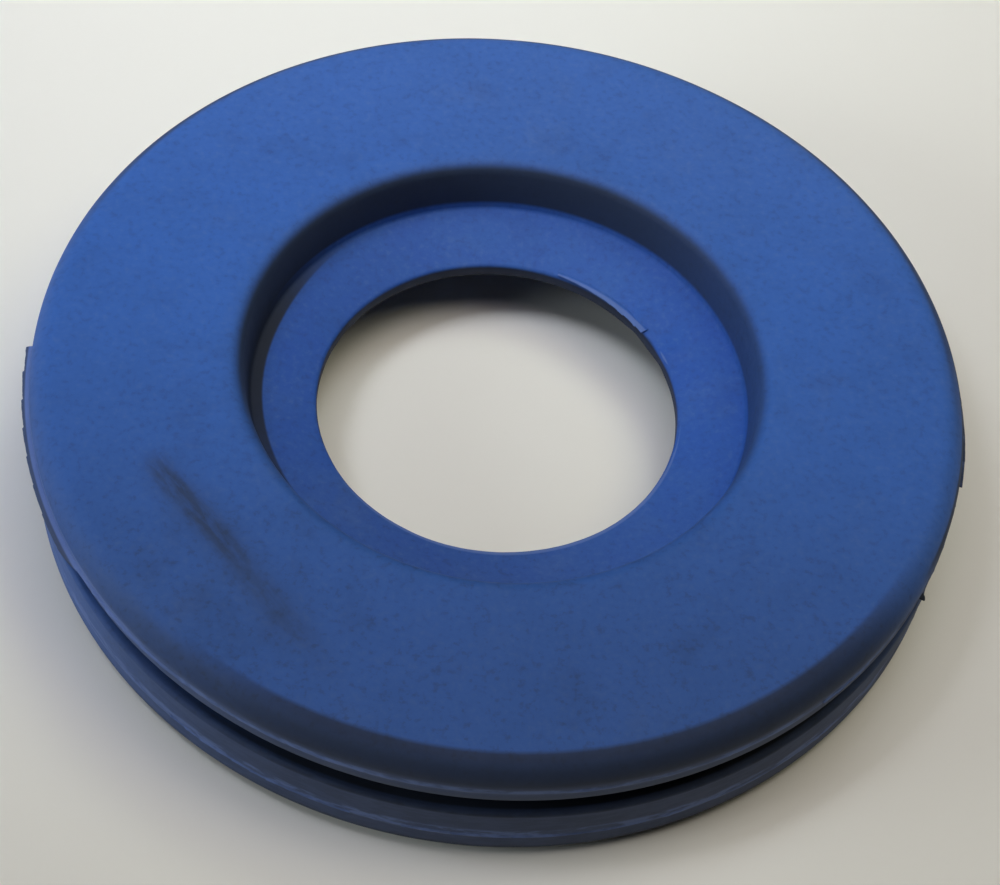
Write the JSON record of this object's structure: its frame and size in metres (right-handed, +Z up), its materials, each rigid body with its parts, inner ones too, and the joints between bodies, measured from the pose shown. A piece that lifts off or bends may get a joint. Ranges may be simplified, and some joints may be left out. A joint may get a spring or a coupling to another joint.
{
  "type": "rubber grommet",
  "caption": "Round one-piece rubber panel grommet: two flanges with a narrow panel groove between them, a round top recess and a thin web with a central bore.",
  "frame": {"origin": "centre of the flat underside of the lower flange, on the bore's axis", "axes": "+Z up along the bore's axis, from the lower flange to the recessed top face; -X is the side with the ragged flash"},
  "size_m": [0.0607, 0.0604, 0.0099],
  "materials": {
    "rubber": "matte moulded rubber, faintly dusty"
  },
  "bodies": {
    "root": {"grommet": "rubber"}
  },
  "joints": []
}
